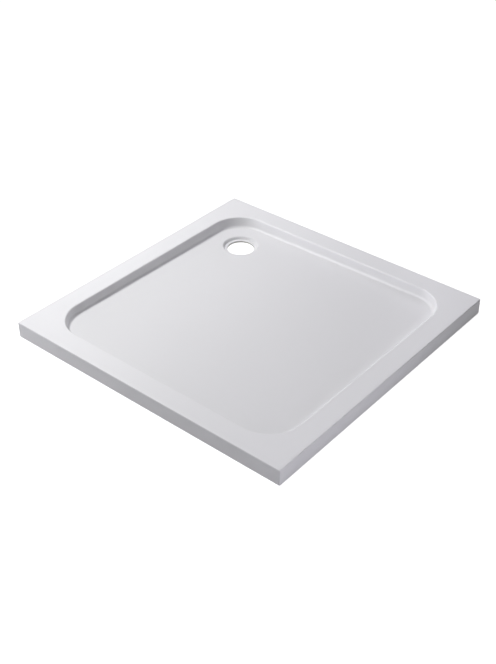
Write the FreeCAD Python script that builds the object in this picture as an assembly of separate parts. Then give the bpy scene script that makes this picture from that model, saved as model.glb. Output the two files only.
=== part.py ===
import FreeCAD, Part
import math
import os

os.makedirs("parts", exist_ok=True)

V = FreeCAD.Vector

# Square low shower tray, in millimetres. The origin is on the ground under the
# middle of the tray, and +Z is up. The tray stands in the corner of a room, with
# the left wall on -X and the back wall on +Y.

# Overall
tray_width = 1000.0             # left wall to open right side
tray_depth = 1000.0             # back wall to open front side
tray_height = 52.0
top_edge_radius = 2.5           # rim rolling over into the skirt
upright_edge_radius = 4.0       # four upright corners of the skirt

# Formed acrylic sheet, and the laminate sprayed on its back
acrylic_thickness = 4.0
laminate_thickness = 2.0
laminate_setback = 4.0          # foot of the skirt left bare for scribing

# Recess
rim_width = 69.0                # flat rim, from the skirt to the top of the wall
recess_corner_radius = 107.0
wall_slope = 77.0               # degrees above level
rim_fillet = 4.5                # rim rolling over into the wall
floor_fillet = 11.0             # wall sweeping into the floor
cross_fall_share = 0.009        # floor's drop towards the left wall, as a share of the run
long_fall_share = 0.009         # floor's drop towards the back wall, as a share of the run

# Waste hole and its seat
waste_from_left = 191.0
waste_from_back = 191.0
waste_hole_diameter = 90.0
seat_diameter = 102.0           # level ledge that the waste's flange lies on
seat_slope = 62.0               # degrees above level
seat_fillet = 4.0               # ledge curving up into the seat's wall
seat_lip_fillet = 6.5           # seat's wall rolling over onto the floor
seat_clearance = 0.5            # underside of the seat to the ground

# Bends on the hidden side that would be tighter than this are left sharp
least_radius = 3.0

# Most of the wall's height that each of its fillets may take
rim_fillet_share = 0.25
floor_fillet_share = 0.7

# Floor board in its own laminate
board_thickness = 6.0
board_margin = 7.0              # board's edge to the sweep of the floor
board_corner_radius = 60.0
overlay_thickness = 1.5
waste_clearance = 16.0          # lip of the seat to the board's notch
notch_radius = 45.0

# Bearers between the floor board and the ground, planed to the fall
bearer_count = 4
bearer_width = 45.0
bearer_setback = 18.0           # bearer's ends to the board's edge
bearer_least_height = 4.0       # left under the board at the waste

# Battens that stiffen the skirt and the rim, and the blocks that join them
batten_width = 18.0
batten_setback = 4.0            # batten's foot above the ground
block_leg = 62.0
block_height = 25.0

# Worked out from the sizes above
half_width = tray_width / 2
half_depth = tray_depth / 2
backing = acrylic_thickness + laminate_thickness
board_underside = backing + board_thickness
overlay_underside = board_underside + overlay_thickness
floor_depth = tray_height - overlay_underside - bearer_least_height
seat_depth = tray_height - floor_depth - backing - seat_clearance
waste_x = waste_from_left - half_width
waste_y = half_depth - waste_from_back
wall_angle = math.radians(wall_slope)
seat_angle = math.radians(seat_slope)
lip_reach = (seat_fillet + seat_lip_fillet) * math.tan(seat_angle / 2)
lip_diameter = seat_diameter + 2 * (lip_reach + seat_depth / math.tan(seat_angle))
plane_stretch = math.sqrt(1 + cross_fall_share ** 2 + long_fall_share ** 2)
touching = 0.001                # points this close are on each other


def floor_height(x, y, drop):
    """Height of the floor's plane, moved down square to itself by drop."""
    rise = cross_fall_share * (x - waste_x) + long_fall_share * (waste_y - y)
    return tray_height - floor_depth + rise - drop * plane_stretch


# The recess is shallowest in the corner across from the waste, and both fillets
# of its wall have to fit there.
least_depth = tray_height - floor_height(half_width - rim_width, rim_width - half_depth, 0)
turn = 1 - math.cos(wall_angle)
rim_round = min(rim_fillet, rim_fillet_share * least_depth / turn)
floor_round = min(floor_fillet, floor_fillet_share * least_depth / turn)
wall_run = least_depth / math.tan(wall_angle)
sweep_run = floor_round * math.tan(wall_angle / 2)


def sloping_layer(upper_drop, lower_drop):
    """Slab between two planes parallel to the floor, wider than the tray."""
    sides = [(-tray_width, -tray_depth), (tray_width, -tray_depth),
             (tray_width, tray_depth), (-tray_width, tray_depth)]
    points = [V(x, y, floor_height(x, y, lower_drop)) for x, y in sides]
    face = Part.Face(Part.makePolygon(points + points[:1]))
    return face.extrude(V(0, 0, (lower_drop - upper_drop) * plane_stretch))


def rounded_rectangle(width, depth, radius, z):
    """Closed level outline, centred on the tray, with tangent corner arcs."""
    x = width / 2 - radius
    y = depth / 2 - radius
    slant = radius * math.sqrt(0.5)
    arcs = [
        (V(x + radius, y, z), V(x + slant, y + slant, z), V(x, y + radius, z)),
        (V(-x, y + radius, z), V(-x - slant, y + slant, z), V(-x - radius, y, z)),
        (V(-x - radius, -y, z), V(-x - slant, -y - slant, z), V(-x, -y - radius, z)),
        (V(x, -y - radius, z), V(x + slant, -y - slant, z), V(x + radius, -y, z)),
    ]
    edges = []
    for i, (start, middle, end) in enumerate(arcs):
        edges.append(Part.Arc(start, middle, end).toShape())
        edges.append(Part.LineSegment(end, arcs[(i + 1) % 4][0]).toShape())
    return Part.Wire(edges)


def recess_outline(growth, z):
    """Outline at z of the recess's drafted wall, grown outwards by growth."""
    step = growth / math.sin(wall_angle) + (z - tray_height) / math.tan(wall_angle)
    margin = 2 * (rim_width - step)
    return rounded_rectangle(tray_width - margin, tray_depth - margin,
                             recess_corner_radius + step, z)


def recess_void(growth):
    """Space inside the recess, grown by growth, with its floor edge rounded."""
    below = recess_outline(growth, 0)
    above = recess_outline(growth, tray_height + rim_fillet)
    drafted = Part.makeLoft([below, above], True, True)
    void = drafted.common(sloping_layer(-tray_height, growth))
    floor_edges = [e for e in void.Edges if lies_on_floor(e, growth)]
    return void.makeFillet(floor_round + growth, floor_edges)


def lies_on_floor(edge, drop):
    """True for an edge whose ends are on the floor's plane, moved down by drop."""
    return all(abs(v.Z - floor_height(v.X, v.Y, drop)) < touching for v in edge.Vertexes)


def seat_void(growth):
    """Space above the waste's ledge, grown by growth. Under the laminate it is left
    square, so that the waste's washer bears flat."""
    bottom = tray_height - floor_depth - seat_depth - growth
    height = seat_depth + growth + seat_lip_fillet
    bend = seat_fillet + growth
    foot_r = seat_diameter / 2 + bend * math.tan(seat_angle / 2)
    void = Part.makeCone(foot_r, foot_r + height / math.tan(seat_angle), height,
                         V(waste_x, waste_y, bottom))
    if growth < backing:
        foot_edges = [e for e in void.Edges if e.BoundBox.ZMax < bottom + touching]
        void = void.makeFillet(bend, foot_edges)
    return void


def skirt_block(inset):
    """Outer block of the tray, inset by inset on its sides and top."""
    block = Part.makeBox(tray_width - 2 * inset, tray_depth - 2 * inset, tray_height - inset,
                         V(inset - half_width, inset - half_depth, 0))
    upright_radius = upright_edge_radius - inset
    if upright_radius > 0:
        uprights = [e for e in block.Edges if e.BoundBox.ZLength > inset]
        block = block.makeFillet(upright_radius, uprights)
    top_radius = top_edge_radius - inset
    if top_radius > 0:
        top_edges = [e for e in block.Edges if e.BoundBox.ZMin > tray_height - inset - touching]
        block = block.makeFillet(top_radius, top_edges)
    return block


def is_rim_edge(edge, inset):
    """True for an edge where the rim, inset by inset, meets the recess's wall."""
    box = edge.BoundBox
    level = box.ZMin > tray_height - inset - touching
    inside = max(box.XMax, -box.XMin) < half_width - rim_width / 2
    return level and inside and max(box.YMax, -box.YMin) < half_depth - rim_width / 2


def is_lip_edge(edge, inset):
    """True for an edge where the floor, inset by inset, meets the waste's seat."""
    box = edge.BoundBox
    reach = max(box.XMax - waste_x, waste_x - box.XMin, box.YMax - waste_y, waste_y - box.YMin)
    ledge_z = tray_height - floor_depth - seat_depth - inset
    return reach < lip_diameter / 2 + inset and box.ZMin > ledge_z + seat_depth / 2


def tray_form(inset):
    """Solid tray down to the ground, with every face moved inwards by inset."""
    form = skirt_block(inset).cut(recess_void(inset)).cut(seat_void(inset))
    lip_radius = seat_lip_fillet - inset
    if lip_radius > least_radius:
        form = form.makeFillet(lip_radius, [e for e in form.Edges if is_lip_edge(e, inset)])
    rim_radius = rim_round - inset
    if rim_radius > least_radius:
        form = form.makeFillet(rim_radius, [e for e in form.Edges if is_rim_edge(e, inset)])
    return form


def waste_drill():
    """Cylinder through the ledge, as wide as the waste hole."""
    return Part.makeCylinder(waste_hole_diameter / 2, tray_height, V(waste_x, waste_y, 0))


def frame_of(inset, width, bottom, top):
    """Square ring, inset by inset from the tray's sides, between two heights."""
    outer = Part.makeBox(tray_width - 2 * inset, tray_depth - 2 * inset, top - bottom,
                         V(inset - half_width, inset - half_depth, bottom))
    inner_inset = inset + width
    inner = Part.makeBox(tray_width - 2 * inner_inset, tray_depth - 2 * inner_inset, top - bottom,
                         V(inner_inset - half_width, inner_inset - half_depth, bottom))
    return outer.cut(inner)


def acrylic_shell(outer_form, laminate_form):
    """One sheet, formed as skirt, rim, drafted wall, falling floor and waste seat."""
    return outer_form.cut(laminate_form).cut(waste_drill())


def glassfibre_backing(laminate_form, cavity_form):
    """Laminate behind the whole sheet, stopping short of the skirt's foot."""
    laminate = laminate_form.cut(cavity_form).cut(waste_drill())
    return laminate.cut(frame_of(0, rim_width / 2, 0, laminate_setback))


def board_outline(growth):
    """Plan of the floor board as a prism, with the notch that clears the waste."""
    inset = rim_width + wall_run + sweep_run + board_margin - growth
    outline = rounded_rectangle(tray_width - 2 * inset, tray_depth - 2 * inset,
                                board_corner_radius + growth, 0)
    prism = Part.Face(outline).extrude(V(0, 0, tray_height))
    clearance = lip_diameter / 2 + waste_clearance - growth
    notch = Part.makeBox(half_width + waste_x + clearance, half_depth - waste_y + clearance,
                         tray_height, V(-half_width, waste_y - clearance, 0))
    inner_edge = [e for e in notch.Edges
                  if e.BoundBox.ZLength > 1 and abs(e.BoundBox.XMin - waste_x - clearance) < touching
                  and abs(e.BoundBox.YMin - waste_y + clearance) < touching]
    return prism.cut(notch.makeFillet(notch_radius - growth, inner_edge))


def floor_board():
    """Panel bonded to the back of the floor, parallel to it."""
    return board_outline(0).common(sloping_layer(backing, board_underside))


def board_overlay(board):
    """Laminate tray that wraps the panel's edges and underside."""
    wrap = board_outline(overlay_thickness).common(sloping_layer(backing, overlay_underside))
    flange = board_outline(board_margin).common(
        sloping_layer(backing, backing + overlay_thickness))
    return wrap.fuse(flange).cut(board).removeSplitter()


def bearer(index):
    """Strip along the tray, planed on top to the overlay's slope."""
    footprint = board_outline(-bearer_setback)
    box = footprint.BoundBox
    pitch = (box.XLength - bearer_width) / (bearer_count - 1)
    strip = Part.makeBox(bearer_width, tray_depth, tray_height,
                         V(box.XMin + index * pitch, -half_depth, 0))
    under = sloping_layer(overlay_underside, overlay_underside + tray_height)
    return strip.common(footprint).common(under)


def edge_batten(side):
    """Batten under the rim, against the skirt on one side."""
    inset = backing
    length_x = tray_width - 2 * inset
    length_y = tray_depth - 2 * inset - 2 * batten_width
    height = tray_height - backing - batten_setback
    corners = {
        "front": (length_x, batten_width, inset - half_width, inset - half_depth),
        "back": (length_x, batten_width, inset - half_width, half_depth - inset - batten_width),
        "left": (batten_width, length_y, inset - half_width, -length_y / 2),
        "right": (batten_width, length_y, half_width - inset - batten_width, -length_y / 2),
    }
    width, depth, x, y = corners[side]
    return Part.makeBox(width, depth, height, V(x, y, batten_setback))


def corner_block(side_x, side_y):
    """Three-cornered block that joins two battens under a corner of the rim."""
    x = side_x * (half_width - backing - batten_width)
    y = side_y * (half_depth - backing - batten_width)
    top = tray_height - backing
    points = [V(x, y, top), V(x - side_x * block_leg, y, top), V(x, y - side_y * block_leg, top)]
    face = Part.Face(Part.makePolygon(points + points[:1]))
    return face.extrude(V(0, 0, -block_height))


def build():
    outer_form = tray_form(0)
    laminate_form = tray_form(acrylic_thickness)
    cavity_form = tray_form(backing)
    board = floor_board()
    pieces = {
        "acrylic_shell": acrylic_shell(outer_form, laminate_form),
        "glassfibre_backing": glassfibre_backing(laminate_form, cavity_form),
        "floor_board": board,
        "board_overlay": board_overlay(board),
    }
    for index in range(bearer_count):
        pieces[f"bearer_{index + 1}"] = bearer(index)
    for side in ("front", "back", "left", "right"):
        pieces[f"edge_batten_{side}"] = edge_batten(side)
    for side_y, along in ((-1, "front"), (1, "back")):
        for side_x, across in ((-1, "left"), (1, "right")):
            pieces[f"corner_block_{along}_{across}"] = corner_block(side_x, side_y)
    return pieces


for name, shape in build().items():
    solids = shape.Solids
    print(name, len(solids), "solid", shape.isValid(), round(shape.Volume / 1000, 1), "cm3")
    shape.exportStep(f"parts/{name}.step")
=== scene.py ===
import math
import bpy
from mathutils import Matrix, Vector


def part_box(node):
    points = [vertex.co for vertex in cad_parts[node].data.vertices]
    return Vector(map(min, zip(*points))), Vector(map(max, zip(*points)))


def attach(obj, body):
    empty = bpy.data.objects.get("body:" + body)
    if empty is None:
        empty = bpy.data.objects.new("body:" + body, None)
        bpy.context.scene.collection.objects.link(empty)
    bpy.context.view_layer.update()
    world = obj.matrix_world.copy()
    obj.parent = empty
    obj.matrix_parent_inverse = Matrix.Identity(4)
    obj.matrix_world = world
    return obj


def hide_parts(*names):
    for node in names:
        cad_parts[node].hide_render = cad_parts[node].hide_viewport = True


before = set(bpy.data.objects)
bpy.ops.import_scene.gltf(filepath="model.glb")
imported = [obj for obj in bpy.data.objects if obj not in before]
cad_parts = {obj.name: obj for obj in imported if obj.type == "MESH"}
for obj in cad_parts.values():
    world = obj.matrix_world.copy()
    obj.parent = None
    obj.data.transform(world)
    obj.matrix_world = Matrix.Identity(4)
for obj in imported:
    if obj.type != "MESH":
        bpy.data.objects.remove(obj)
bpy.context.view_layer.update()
scene = bpy.context.scene
scene.view_settings.view_transform = "Standard"
print("frame loaded:", len(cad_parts), "pieces")

mm = 0.001
degree = math.radians(1)


# One field or shader value with Python's own arithmetic
class Value:
    def __init__(self, tree, socket):
        self.tree = tree
        self.socket = socket

    def out(self, name):  # another output of the same node
        return Value(self.tree, self.socket.node.outputs[name])

    def math(self, operation, *others):
        values = dict(enumerate((self,) + others))
        return self.tree.add("ShaderNodeMath", {"operation": operation}, values)

    def __add__(self, other):
        return self.math("ADD", other)

    def __sub__(self, other):
        return self.math("SUBTRACT", other)

    def __mul__(self, other):
        return self.math("MULTIPLY", other)

    def __truediv__(self, other):
        return self.math("DIVIDE", other)

    def __radd__(self, other):
        return self + other

    def __rmul__(self, other):
        return self * other

    def __rsub__(self, other):
        return self.tree.constant(other) - self

    def __rtruediv__(self, other):
        return self.tree.constant(other) / self

    def __neg__(self):
        return self * -1

    def floor(self):
        return self.math("FLOOR")

    def round(self):
        return self.math("ROUND")

    def sin(self):
        return self.math("SINE")

    def cos(self):
        return self.math("COSINE")

    def tan(self):
        return self.math("TANGENT")

    def atan(self):
        return self.math("ARCTANGENT")

    def sqrt(self):
        return self.math("SQRT")

    def larger(self, other):
        return self.math("MAXIMUM", other)

    def smaller(self, other):
        return self.math("MINIMUM", other)

    def clamped(self):
        return self.larger(0).smaller(1)

    def mixed(self, low, high):  # low where this is 0, high where it is 1
        return low + self * (high - low)


# Wraps a node tree: any node is added with its type, settings and inputs
class Tree:
    def __init__(self, nodeTree):
        self.nodeTree = nodeTree

    def add(self, kind, settings=None, inputs=None):
        node = self.nodeTree.nodes.new(kind)
        for name, setting in (settings or {}).items():
            setattr(node, name, setting)
        for name, value in (inputs or {}).items():
            self.feed(node.inputs[name], value)
        return Value(self, node.outputs[0]) if node.outputs else node

    def feed(self, socket, value):
        if isinstance(value, list):
            for one in reversed(value):  # a multi-input keeps its first link last
                self.feed(socket, one)
        elif isinstance(value, Value):
            self.nodeTree.links.new(value.socket, socket)
        else:
            socket.default_value = value

    def constant(self, number):
        return self.add("ShaderNodeMath", {"operation": "ADD"}, {0: number, 1: 0.0})

    def vector(self, x, y, z):
        return self.add("ShaderNodeCombineXYZ", inputs={0: x, 1: y, 2: z})

    def split(self, vector):
        parts = self.add("ShaderNodeSeparateXYZ", inputs={0: vector})
        return parts, parts.out("Y"), parts.out("Z")


# One tree makes both sheets of the tray: the acrylic, and the laminate behind it

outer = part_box("acrylic_shell")

tray = {
    "rim width": 69 * mm,
    "corner radius": 107 * mm,
    "wall slope": 77 * degree,
    "rim fillet": 4.5 * mm,
    "floor fillet": 11 * mm,
    "fall": 0.009,
    "waste from left": 191 * mm,
    "waste from back": 191 * mm,
    "floor depth": 34.5 * mm,
    "hole radius": 45 * mm,
    "seat radius": 51 * mm,
    "seat depth": 11 * mm,
    "seat slope": 62 * degree,
    "seat fillet": 4 * mm,
    "lip fillet": 6.5 * mm,
    "top edge": 2.5 * mm,
    "upright edge": 4 * mm,
    "hole edge": 0.5 * mm,
}

# Both faces of each sheet, measured inwards from the tray's outside
sheets = {
    "acrylic_shell": {"Outer Inset": 0.0, "Inner Inset": 4 * mm, "Foot": 0.0},
    "glassfibre_backing": {"Outer Inset": 4 * mm, "Inner Inset": 6 * mm, "Foot": 4 * mm},
}

mesh = {
    "arc columns": 24,
    "side columns": 40,
    "support": 2 * mm,      # row that keeps a flat face's shading flat beside a bend
    "support share": 0.2,   # most of a flat face's length that such a row takes
    "sharp angle": 35 * degree,
    "merge distance": 0.01 * mm,
}

# Rows of each band along the sheet's section
bandRows = {
    "skirt": 8,
    "top edge": 6,
    "flat": 3,
    "rim bend": 10,
    "sweep": 14,
    "lip": 8,
    "seat wall": 3,
    "seat bend": 6,
    "ledge": 2,
    "hole edge": 3,
    "hole wall": 3,
    "foot": 1,
}


def traySizes():
    return {
        "Half Width": outer[1].x,
        "Half Depth": outer[1].y,
        "Height": outer[1].z,
        "Rim Width": tray["rim width"],
        "Corner Radius": tray["corner radius"],
        "Wall Slope": tray["wall slope"],
        "Rim Fillet": tray["rim fillet"],
        "Floor Fillet": tray["floor fillet"],
        "Fall": tray["fall"],
        "Waste X": outer[0].x + tray["waste from left"],
        "Waste Y": outer[1].y - tray["waste from back"],
        "Floor Height": outer[1].z - tray["floor depth"],
        "Hole Radius": tray["hole radius"],
        "Seat Radius": tray["seat radius"],
        "Ledge Height": outer[1].z - tray["floor depth"] - tray["seat depth"],
        "Seat Slope": tray["seat slope"],
        "Seat Fillet": tray["seat fillet"],
        "Lip Fillet": tray["lip fillet"],
        "Top Edge": tray["top edge"],
        "Upright Edge": tray["upright edge"],
        "Hole Edge": tray["hole edge"],
    }


class SheetTree(Tree):
    # Columns run round the tray, and each band's rows run along its section
    def __init__(self):
        super().__init__(bpy.data.node_groups.new("traySheet", "GeometryNodeTree"))
        interface = self.nodeTree.interface
        self.sockets = {}
        for name in (*traySizes(), *sheets["acrylic_shell"]):
            self.sockets[name] = interface.new_socket(
                name=name, in_out="INPUT", socket_type="NodeSocketFloat").identifier
        self.sockets["Material"] = interface.new_socket(
            name="Material", in_out="INPUT", socket_type="NodeSocketMaterial").identifier
        interface.new_socket(name="Mesh", in_out="OUTPUT", socket_type="NodeSocketGeometry")
        self.given = self.add("NodeGroupInput")
        self.bands = []
        self.placeColumns()

    def size(self, name):
        return self.given.out(name)

    def placeColumns(self):
        ofQuarter = mesh["arc columns"] + mesh["side columns"]
        self.columns = 4 * ofQuarter
        x, y, _ = self.split(self.add("GeometryNodeInputPosition"))
        column = ((x + 0.5) * self.columns).round()
        self.along = y + 0.5    # 0 to 1 over a band's rows
        quarter = (column / ofQuarter).floor()
        step = column - quarter * ofQuarter
        arc = (step / mesh["arc columns"]).clamped()
        side = ((step - mesh["arc columns"]) / mesh["side columns"]).clamped()
        angle = (quarter + arc) * (math.pi / 2)
        self.outX = angle.cos()
        self.outY = angle.sin()
        # signs of the corner that the column is on, and of the next one round
        corner = (quarter + 0.5) * (math.pi / 2)
        root2 = math.sqrt(2)
        self.signs = [corner.cos() * root2, corner.sin() * root2]
        following = corner + math.pi / 2
        self.nextSigns = [following.cos() * root2, following.sin() * root2]
        # columns of a side are spread evenly as seen from the waste
        radius = self.size("Corner Radius")
        inset = self.size("Rim Width") + radius
        halfX = self.size("Half Width") - inset
        halfY = self.size("Half Depth") - inset
        sideAngle = (quarter + 1) * (math.pi / 2)
        faceX, faceY = sideAngle.cos(), sideAngle.sin()
        fromX = self.signs[0] * halfX - self.size("Waste X")
        fromY = self.signs[1] * halfY - self.size("Waste Y")
        toX = self.nextSigns[0] * halfX - self.size("Waste X")
        toY = self.nextSigns[1] * halfY - self.size("Waste Y")
        reach = fromX * faceX + fromY * faceY + radius
        start = fromY * faceX - fromX * faceY
        end = toY * faceX - toX * faceY
        spread = side.mixed((start / reach).atan(), (end / reach).atan()).tan() * reach
        self.onSide = (spread - start) / (end - start)

    def outline(self, inset, radius):  # centre of the corner arc or side that a column is on
        halfX = self.size("Half Width") - inset - radius
        halfY = self.size("Half Depth") - inset - radius
        x = self.onSide.mixed(self.signs[0] * halfX, self.nextSigns[0] * halfX)
        y = self.onSide.mixed(self.signs[1] * halfY, self.nextSigns[1] * halfY)
        return x, y

    def onOutline(self, centre, radius, height):
        return centre[0] + self.outX * radius, centre[1] + self.outY * radius, height

    def supported(self, length):  # of a flat band's three rows, the outer two are narrow
        share = (length * mesh["support share"]).smaller(mesh["support"]) / length
        row = self.along * bandRows["flat"]
        middle = (row - 1).clamped()
        return middle * (1 - 2 * share) + (row - middle) * share

    def band(self, name, place):  # place gives x, y and z along the band
        grid = self.add("GeometryNodeMeshGrid", inputs={
            "Size X": 1.0, "Size Y": 1.0,
            "Vertices X": self.columns + 1, "Vertices Y": bandRows[name] + 1})
        self.bands.append(self.add("GeometryNodeSetPosition", inputs={
            "Geometry": grid, "Position": self.vector(*place)}))

    def between(self, share, start, end):
        return [share.mixed(a, b) for a, b in zip(start, end)]

    # One face of the sheet from the skirt's foot to the waste hole. Flip runs it the other
    # way, so that the inner face ends at the foot.
    def face(self, inset, flip):
        share = 1 - self.along if flip else self.along
        size = self.size
        height, foot = size("Height"), size("Foot")

        # skirt and its top edge
        edge = size("Top Edge").larger(inset)
        upright = size("Upright Edge").larger(inset)
        skirt = self.outline(upright, 0)
        low = self.onOutline(skirt, upright - inset, foot)
        high = self.onOutline(skirt, upright - inset, height - edge)
        turn = share * (math.pi / 2)
        bend = edge - inset
        roll = self.onOutline(skirt, upright - edge + bend * turn.cos(),
                              height - edge + bend * turn.sin())
        rimStart = self.onOutline(skirt, upright - edge, height - inset)

        # rim, its bend, the wall and the sweep into the floor
        slope = size("Wall Slope")
        sine, cosine = slope.sin(), slope.cos()
        recess = self.outline(size("Rim Width"), size("Corner Radius"))
        bendSize = size("Rim Fillet").larger(inset)
        bendRun = -bendSize * (slope / 2).tan()
        bendRadius = bendSize - inset
        rimEnd = self.onRecess(recess, bendRun, height - inset)
        turn = share * slope
        rimBend = self.onRecess(recess, bendRun + bendRadius * turn.sin(),
                                height - bendSize + bendRadius * turn.cos())
        wallStart = self.onRecess(recess, bendRun + bendRadius * sine,
                                  height - bendSize + bendRadius * cosine)
        fall = size("Fall")
        stretch = (1 + 2 * fall * fall).sqrt()
        fallIn = -fall * (self.outX - self.outY)
        edgeX, edgeY, _ = self.onRecess(recess, 0, height)
        floorAtEdge = self.floorAt(edgeX, edgeY)
        sweep = size("Floor Fillet")
        drop = height - floorAtEdge - sweep * (stretch + fallIn * sine - cosine)
        fullRun = drop / (sine + fallIn * cosine)
        sweepRun = fullRun * cosine + sweep * sine
        sweepZ = floorAtEdge + fallIn * sweepRun + sweep * stretch
        sweepRadius = sweep + inset
        wallEnd = self.onRecess(recess, sweepRun - sweepRadius * sine,
                                sweepZ - sweepRadius * cosine)
        level = -fallIn.atan()
        turn = share.mixed(slope, level)
        sweepBend = self.onRecess(recess, sweepRun - sweepRadius * turn.sin(),
                                  sweepZ - sweepRadius * turn.cos())
        floorStart = self.onRecess(recess, sweepRun - sweepRadius * level.sin(),
                                   sweepZ - sweepRadius * level.cos())

        # floor, then the lip, wall and ledge of the seat, turned about the waste
        awayX = floorStart[0] - size("Waste X")
        awayY = floorStart[1] - size("Waste Y")
        away = (awayX * awayX + awayY * awayY).sqrt()
        self.seatX, self.seatY = awayX / away, awayY / away
        rise = fall * (self.seatX - self.seatY)
        seatSlope = size("Seat Slope")
        seatSine, seatCosine, seatTan = seatSlope.sin(), seatSlope.cos(), seatSlope.tan()
        lip = size("Lip Fillet").larger(inset)
        seatFoot = size("Seat Radius") + size("Seat Fillet") * (seatSlope / 2).tan()
        seatRise = size("Floor Height") - lip * stretch - size("Ledge Height")
        lipR = (seatFoot + lip / seatSine + seatRise / seatTan) / (1 - rise / seatTan)
        lipZ = size("Floor Height") + rise * lipR - lip * stretch
        lipRadius = lip - inset
        level = rise.atan()
        floorEnd = self.onSeat(lipR - lipRadius * level.sin(), lipZ + lipRadius * level.cos())
        turn = share.mixed(level, seatSlope)
        lipBend = self.onSeat(lipR - lipRadius * turn.sin(), lipZ + lipRadius * turn.cos())
        seatStart = self.onSeat(lipR - lipRadius * seatSine, lipZ + lipRadius * seatCosine)
        seatRadius = size("Seat Fillet") + inset
        seatZ = size("Ledge Height") + size("Seat Fillet")
        seatEnd = self.onSeat(size("Seat Radius") + seatRadius * seatSine,
                              seatZ - seatRadius * seatCosine)
        turn = share.mixed(seatSlope, 0)
        seatBend = self.onSeat(size("Seat Radius") + seatRadius * turn.sin(),
                               seatZ - seatRadius * turn.cos())
        ledgeZ = size("Ledge Height") - inset
        ledgeStart = self.onSeat(size("Seat Radius"), ledgeZ)
        ease = (size("Hole Edge") - inset).larger(0)
        ledgeEnd = self.onSeat(size("Hole Radius") + ease, ledgeZ)
        turn = share * (math.pi / 2)
        holeBend = self.onSeat(size("Hole Radius") + ease - ease * turn.sin(),
                               ledgeZ - ease + ease * turn.cos())
        holeEdge = self.onSeat(size("Hole Radius"), ledgeZ - ease)

        def flat(start, end, length):
            run = self.supported(length)
            run = 1 - run if flip else run
            self.band("flat", self.between(run, start, end))

        self.band("skirt", self.between(share, low, high))
        self.band("top edge", roll)
        flat(rimStart, rimEnd, size("Rim Width"))
        self.band("rim bend", rimBend)
        flat(wallStart, wallEnd, fullRun)
        self.band("sweep", sweepBend)
        flat(floorStart, floorEnd, away - lipR)
        self.band("lip", lipBend)
        self.band("seat wall", self.between(share, seatStart, seatEnd))
        self.band("seat bend", seatBend)
        self.band("ledge", self.between(share, ledgeStart, ledgeEnd))
        self.band("hole edge", holeBend)
        return low, holeEdge

    def floorAt(self, x, y):
        slant = self.size("Fall") * (x - self.size("Waste X") + self.size("Waste Y") - y)
        return self.size("Floor Height") + slant

    def onRecess(self, centre, run, height):  # run is measured inwards from the rim's edge
        return self.onOutline(centre, self.size("Corner Radius") - run, height)

    def onSeat(self, radius, height):
        return (self.size("Waste X") + self.seatX * radius,
                self.size("Waste Y") + self.seatY * radius, height)

    def build(self):
        outerFoot, outerHole = self.face(self.size("Outer Inset"), False)
        innerFoot, innerHole = self.face(self.size("Inner Inset"), True)
        self.band("hole wall", self.between(self.along, outerHole, innerHole))
        self.band("foot", self.between(self.along, innerFoot, outerFoot))
        joined = self.add("GeometryNodeJoinGeometry", inputs={"Geometry": self.bands})
        merged = self.add("GeometryNodeMergeByDistance", inputs={
            "Geometry": joined, "Distance": mesh["merge distance"]})
        smooth = self.add("GeometryNodeSetShadeSmooth", {"domain": "FACE"}, {
            "Geometry": merged, "Shade Smooth": True})
        bends = self.add("GeometryNodeInputMeshEdgeAngle")
        sharp = bends.math("GREATER_THAN", mesh["sharp angle"])
        edged = self.add("GeometryNodeSetShadeSmooth", {"domain": "EDGE"}, {
            "Geometry": smooth, "Selection": sharp, "Shade Smooth": False})
        real = self.add("GeometryNodeRealizeInstances", inputs={"Geometry": edged})
        painted = self.add("GeometryNodeSetMaterial", inputs={
            "Geometry": real, "Material": self.size("Material")})
        self.add("NodeGroupOutput", inputs={"Mesh": painted})


def makeSheet(tree, node, name, material):
    holder = bpy.data.objects.new(name, bpy.data.meshes.new(name))
    scene.collection.objects.link(holder)
    modifier = holder.modifiers.new("sheet", "NODES")
    modifier.node_group = tree.nodeTree
    for size, value in {**traySizes(), **sheets[node]}.items():
        modifier[tree.sockets[size]] = value
    modifier[tree.sockets["Material"]] = material
    graph = bpy.context.evaluated_depsgraph_get()
    made = bpy.data.meshes.new_from_object(holder.evaluated_get(graph))
    holder.modifiers.clear()
    holder.data = made
    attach(holder, "root")
    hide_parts(node)
    print(name, len(made.vertices), "points", len(made.polygons), "faces")


# A material's tree, with every pattern placed by Object coordinates
class Finish(Tree):
    def __init__(self, name):
        self.material = bpy.data.materials.new(name)
        self.material.use_nodes = True
        super().__init__(self.material.node_tree)
        self.nodeTree.nodes.clear()
        self.place = self.add("ShaderNodeTexCoord").out("Object")

    def moved(self, scale=(1, 1, 1), turn=(0, 0, 0), by=(0, 0, 0)):
        return self.add("ShaderNodeMapping", inputs={
            "Vector": self.place, "Scale": scale, "Rotation": turn, "Location": by})

    def noise(self, place, scale, detail=2.0, roughness=0.5):
        return self.add("ShaderNodeTexNoise", inputs={
            "Vector": place, "Scale": scale, "Detail": detail, "Roughness": roughness})

    def mix(self, share, low, high):  # colours
        low, high = [(*c, 1) if isinstance(c, tuple) else c for c in (low, high)]
        mixed = self.add("ShaderNodeMix", {"data_type": "RGBA"}, {0: share, 6: low, 7: high})
        return Value(self, mixed.socket.node.outputs[2])

    def summed(self, shares, one, other):
        return one * shares[0] + other * shares[1]

    def bump(self, height, distance):
        return self.add("ShaderNodeBump", inputs={
            "Height": height, "Distance": distance, "Strength": 1.0})

    def finish(self, colour, roughness, normal, ior=1.5):
        surface = self.add("ShaderNodeBsdfPrincipled", inputs={
            "Base Color": colour, "Roughness": roughness, "Normal": normal, "IOR": ior})
        self.add("ShaderNodeOutputMaterial", inputs={"Surface": surface})
        return self.material


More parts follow.
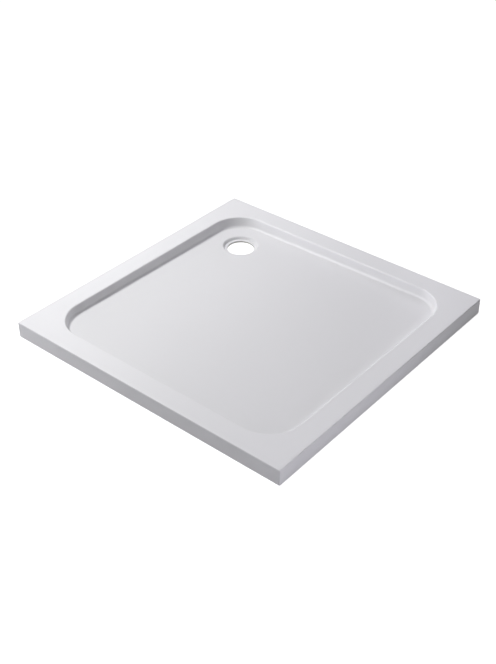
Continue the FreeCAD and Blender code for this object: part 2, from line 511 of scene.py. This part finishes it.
gloss = {
    "colour": (0.86, 0.86, 0.87),
    "painted shade share": 0.94,    # painted shade: share of the colour kept below the rim, set by the photo's tones
    "painted shade from": 4 * mm,   # painted shade fades in over this depth below the rim's face
    "ior": 1.42,
    "roughness": 0.36,
    "haze": 0.02,           # how far the roughness drifts over the sheet
    "haze scale": 9.0,
    "haze detail": 4.0,
    "peel size": 7 * mm,    # slight waviness of a formed sheet
    "peel detail": 1.0,
    "peel depth": 0.006 * mm,
    "cut colour": (0.78, 0.775, 0.76),
    "cut roughness": 0.3,   # on top of the formed face's
    "cut margin": 0.1 * mm,
}


def glossAcrylic():
    tree = Finish("glossAcrylic")
    haze = tree.noise(tree.place, gloss["haze scale"], gloss["haze detail"])
    peel = tree.noise(tree.place, 1 / gloss["peel size"], gloss["peel detail"])
    # the waste hole is cut after forming, so its wall is duller than the formed face
    x, y, z = tree.split(tree.place)
    awayX = x - traySizes()["Waste X"]
    awayY = y - traySizes()["Waste Y"]
    away = (awayX * awayX + awayY * awayY).sqrt()
    cut = away.math("LESS_THAN", tray["hole radius"] + gloss["cut margin"])
    # painted shade: the sheet below the rim's face is darkened, standing in for the shade in
    # the recess
    paintedShade = ((outer[1].z - z) / gloss["painted shade from"]).clamped()
    shadedColour = tuple(gloss["painted shade share"] * part for part in gloss["colour"])
    colour = tree.mix(paintedShade, gloss["colour"], shadedColour)
    colour = tree.mix(cut, colour, gloss["cut colour"])
    roughness = gloss["roughness"] + (haze - 0.5) * gloss["haze"] + cut * gloss["cut roughness"]
    return tree.finish(colour, roughness, tree.bump(peel, gloss["peel depth"]), gloss["ior"])


strand = {
    "resin": (0.5, 0.47, 0.34),
    "glass": (0.72, 0.72, 0.66),
    "ior": 1.52,
    "length": 50 * mm,
    "width": 1.6 * mm,
    "turns": (8, 52, 101, 147),     # directions of the strands, in degrees
    "shift": (7.3, 3.1, 0.0),       # from one direction's pattern to the next
    "detail": 1.0,
    "contrast": 6,
    "pool scale": 22.0,             # resin gathered between the strands
    "pool detail": 3.0,
    "tints": (0.7, 0.3),            # strands, pools
    "relief": (0.6, 0.8),           # strands, pools
    "depth": 0.5 * mm,
    "roughness": 0.62,
    "pool gloss": 0.3,
}


def glassLaminate():
    tree = Finish("glassLaminate")
    scale = (1 / strand["length"], 1 / strand["width"], 1 / strand["width"])
    strands = None
    for index, turn in enumerate(strand["turns"]):
        place = tree.moved(scale=scale, turn=(0, 0, turn * degree),
                           by=tuple(index * part for part in strand["shift"]))
        layer = tree.noise(place, 1.0, strand["detail"])
        layer = ((layer - 0.5) * strand["contrast"]).clamped()
        strands = layer if strands is None else strands.larger(layer)
    pools = tree.noise(tree.place, strand["pool scale"], strand["pool detail"])
    share = tree.summed(strand["tints"], strands, pools)
    colour = tree.mix(share, strand["resin"], strand["glass"])
    roughness = strand["roughness"] - pools * strand["pool gloss"]
    normal = tree.bump(tree.summed(strand["relief"], strands, pools), strand["depth"])
    return tree.finish(colour, roughness, normal, strand["ior"])


chip = {
    "pale": (0.66, 0.52, 0.34),
    "dark": (0.42, 0.29, 0.16),
    "size": 4 * mm,
    "stretch": (1, 0.6, 1.6),
    "dust scale": 900.0,
    "dust detail": 2.0,
    "tints": (0.7, 0.3),    # chips, dust
    "relief": (0.5, 0.5),   # chips, dust
    "depth": 0.2 * mm,
    "roughness": 0.85,
    "dust gloss": 0.1,
}


def particleBoard():
    tree = Finish("particleBoard")
    place = tree.moved(scale=tuple(part / chip["size"] for part in chip["stretch"]))
    cells = tree.add("ShaderNodeTexVoronoi", {"feature": "F1"}, {"Vector": place, "Scale": 1.0})
    tone = tree.split(cells.out("Color"))[0]
    dust = tree.noise(tree.place, chip["dust scale"], chip["dust detail"])
    colour = tree.mix(tree.summed(chip["tints"], tone, dust), chip["dark"], chip["pale"])
    normal = tree.bump(tree.summed(chip["relief"], cells, dust), chip["depth"])
    return tree.finish(colour, chip["roughness"] - dust * chip["dust gloss"], normal)


timber = {
    "early": (0.80, 0.62, 0.40),
    "late": (0.60, 0.39, 0.20),
    "late tint": 0.75,
    "ring": 3.2 * mm,       # one year's growth
    "pith": 60 * mm,        # heart of the log, below the strip
    "stretch": 0.06,        # scale of the patterns along the grain
    "wander": 7 * mm,
    "wander scale": 14.0,
    "detail": 3.0,
    "fibre scale": 420.0,
    "fibre roughness": 0.7,
    "fibre tint": 0.5,
    "saw pitch": 2.4 * mm,
    "relief": (0.3, 0.7),   # saw marks, fibre
    "depth": 0.12 * mm,
    "roughness": 0.8,
    "fibre gloss": 0.15,
}


def sawnTimber(name, alongX):
    tree = Finish(name)
    x, y, z = tree.split(tree.place)
    along, across = (x, y) if alongX else (y, x)
    stretch = (timber["stretch"], 1, 1) if alongX else (1, timber["stretch"], 1)
    drift = tree.noise(tree.moved(scale=stretch), timber["wander scale"], timber["detail"])
    fibre = tree.noise(tree.moved(scale=stretch), timber["fibre scale"], timber["detail"],
                       timber["fibre roughness"])
    deep = z + timber["pith"]
    radius = (across * across + deep * deep).sqrt() + (drift - 0.5) * timber["wander"]
    year = (radius / timber["ring"]).math("FRACT")
    late = year * year * year
    share = late * timber["late tint"] + (fibre - 0.5) * timber["fibre tint"]
    colour = tree.mix(share, timber["early"], timber["late"])
    marks = (along * (2 * math.pi / timber["saw pitch"])).sin() * 0.5 + 0.5
    normal = tree.bump(tree.summed(timber["relief"], marks, fibre), timber["depth"])
    return tree.finish(colour, timber["roughness"] - fibre * timber["fibre gloss"], normal)


def dress(node, material):
    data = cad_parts[node].data
    data.materials.clear()
    data.materials.append(material)


acrylic = glossAcrylic()
laminate = glassLaminate()
timberAlongX = sawnTimber("timberAlongX", True)
timberAlongY = sawnTimber("timberAlongY", False)
dress("floor_board", particleBoard())
dress("board_overlay", laminate)
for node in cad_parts:
    if node.startswith("bearer") or node in ("edge_batten_left", "edge_batten_right"):
        dress(node, timberAlongY)
    elif node.startswith(("edge_batten", "corner_block")):
        dress(node, timberAlongX)
print("materials made")

sheetTree = SheetTree()
sheetTree.build()
makeSheet(sheetTree, "acrylic_shell", "formedSheet", acrylic)
makeSheet(sheetTree, "glassfibre_backing", "laminateSheet", laminate)

studio = {
    "floor size": 24.0,
    "floor gap": 0.1 * mm,  # between the floor and the tray's foot
    "floor bounce": 0.6,    # grey of the floor for the light that it throws back
    "floor glow": 0.93,     # what the camera sees of the floor in full shadow
    "ambient": 0.0,
    "aim": (0, 0, 30 * mm), # where all lamps point
}


# A tree that tells what looks at it: camera is 1 for a camera ray, and mirrored is 1
# for a glossy or a transmission ray
class Backdrop(Tree):
    def __init__(self, nodeTree):
        super().__init__(nodeTree)
        self.nodeTree.nodes.clear()
        rays = self.add("ShaderNodeLightPath")
        self.camera = rays.out("Is Camera Ray")
        self.mirrored = rays.out("Is Glossy Ray").larger(rays.out("Is Transmission Ray"))


def studioFloor():
    half = studio["floor size"] / 2
    corners = [(-half, -half, 0), (half, -half, 0), (half, half, 0), (-half, half, 0)]
    data = bpy.data.meshes.new("studioFloor")
    data.from_pydata(corners, [], [(0, 1, 2, 3)])
    floor = bpy.data.objects.new("studioFloor", data)
    floor.location.z = -studio["floor gap"]
    scene.collection.objects.link(floor)
    material = bpy.data.materials.new("studioFloor")
    material.use_nodes = True
    tree = Backdrop(material.node_tree)
    grey = studio["floor bounce"]
    plain = tree.add("ShaderNodeBsdfDiffuse", inputs={"Color": (grey, grey, grey, 1)})
    glow = tree.add("ShaderNodeEmission", inputs={"Strength": studio["floor glow"]})
    seen = tree.add("ShaderNodeAddShader", inputs={0: plain, 1: glow})
    blank = tree.add("ShaderNodeEmission", inputs={"Strength": 1.0})
    shader = tree.add("ShaderNodeMixShader", inputs={0: tree.camera, 1: plain, 2: seen})
    shader = tree.add("ShaderNodeMixShader", inputs={0: tree.mirrored, 1: shader, 2: blank})
    tree.add("ShaderNodeOutputMaterial", inputs={"Surface": shader})
    data.materials.append(material)


def studioWorld():
    world = bpy.data.worlds.new("studioWorld")
    scene.world = world
    world.use_nodes = True
    tree = Backdrop(world.node_tree)
    ambient = tree.add("ShaderNodeBackground", inputs={
        "Color": (1, 1, 1, 1), "Strength": studio["ambient"]})
    blank = tree.add("ShaderNodeBackground", inputs={"Color": (1, 1, 1, 1), "Strength": 1.0})
    seen = tree.camera.larger(tree.mirrored)
    shader = tree.add("ShaderNodeMixShader", inputs={0: seen, 1: ambient, 2: blank})
    tree.add("ShaderNodeOutputWorld", inputs={"Surface": shader})


white = (1.0, 1.0, 1.0)
cool = (0.93, 0.91, 1.0)

lamps = {
    "key": {"azimuth": 210, "elevation": 58, "distance": 3.0, "size": 0.2,
            "power": 44, "colour": white},
    "lowKey": {"azimuth": 225, "elevation": 33, "distance": 3.0, "size": 0.2,
               "power": 3.5, "colour": white},
    "left": {"azimuth": 180, "elevation": 50, "distance": 1.5, "size": 0.5,
             "power": 4.8, "colour": white},
    "frontLeft": {"azimuth": 210, "elevation": 5, "distance": 3.0, "size": 1.2,
                  "power": 38, "colour": cool},
    "back": {"azimuth": 90, "elevation": 30, "distance": 1.5, "size": 0.5,
             "power": 1.9, "colour": cool},
    "backHigh": {"azimuth": 120, "elevation": 55, "distance": 3.0, "size": 1.2,
                 "power": 11, "colour": cool},
    "frontRight": {"azimuth": 330, "elevation": 10, "distance": 1.5, "size": 0.5,
                   "power": 2.9, "colour": cool},
    "right": {"azimuth": 0, "elevation": 10, "distance": 1.1, "size": 0.4,
              "power": 0.6, "colour": cool},
}


def setLamps():
    aim = Vector(studio["aim"])
    for name, lamp in lamps.items():
        data = bpy.data.lights.new(name, "AREA")
        data.shape = "SQUARE"
        data.size = lamp["size"]
        data.energy = lamp["power"]
        data.color = lamp["colour"]
        azimuth, elevation = lamp["azimuth"] * degree, lamp["elevation"] * degree
        towards = Vector((math.cos(elevation) * math.cos(azimuth),
                          math.cos(elevation) * math.sin(azimuth), math.sin(elevation)))
        made = bpy.data.objects.new(name, data)
        place = towards.to_track_quat("Z", "Y").to_matrix().to_4x4()
        place.translation = towards * lamp["distance"] + aim
        made.matrix_world = place
        scene.collection.objects.link(made)


studioFloor()
studioWorld()
setLamps()
print("studio set")

view = {
    "position": (1.6887, -2.0645, 1.9110),
    "azimuth": 39.604 * degree,
    "elevation": 36.040 * degree,
    "roll": 0.235 * degree,
    "lens": 58.034,
    "sensor": 36.0,
}


def setCamera():
    azimuth, elevation = view["azimuth"], view["elevation"]
    back = Vector((math.sin(azimuth) * math.cos(elevation),
                   -math.cos(azimuth) * math.cos(elevation), math.sin(elevation)))
    right = Vector((0, 0, 1)).cross(back).normalized()
    up = back.cross(right)
    turned = right * math.cos(view["roll"]) + up * math.sin(view["roll"])
    up = up * math.cos(view["roll"]) - right * math.sin(view["roll"])
    place = Matrix((turned, up, back)).transposed().to_4x4()
    place.translation = Vector(view["position"])
    data = bpy.data.cameras.new("camera")
    data.lens = view["lens"]
    data.sensor_width = view["sensor"]
    data.dof.use_dof = False
    camera = bpy.data.objects.new("camera", data)
    camera.matrix_world = place
    scene.collection.objects.link(camera)
    scene.camera = camera


setCamera()
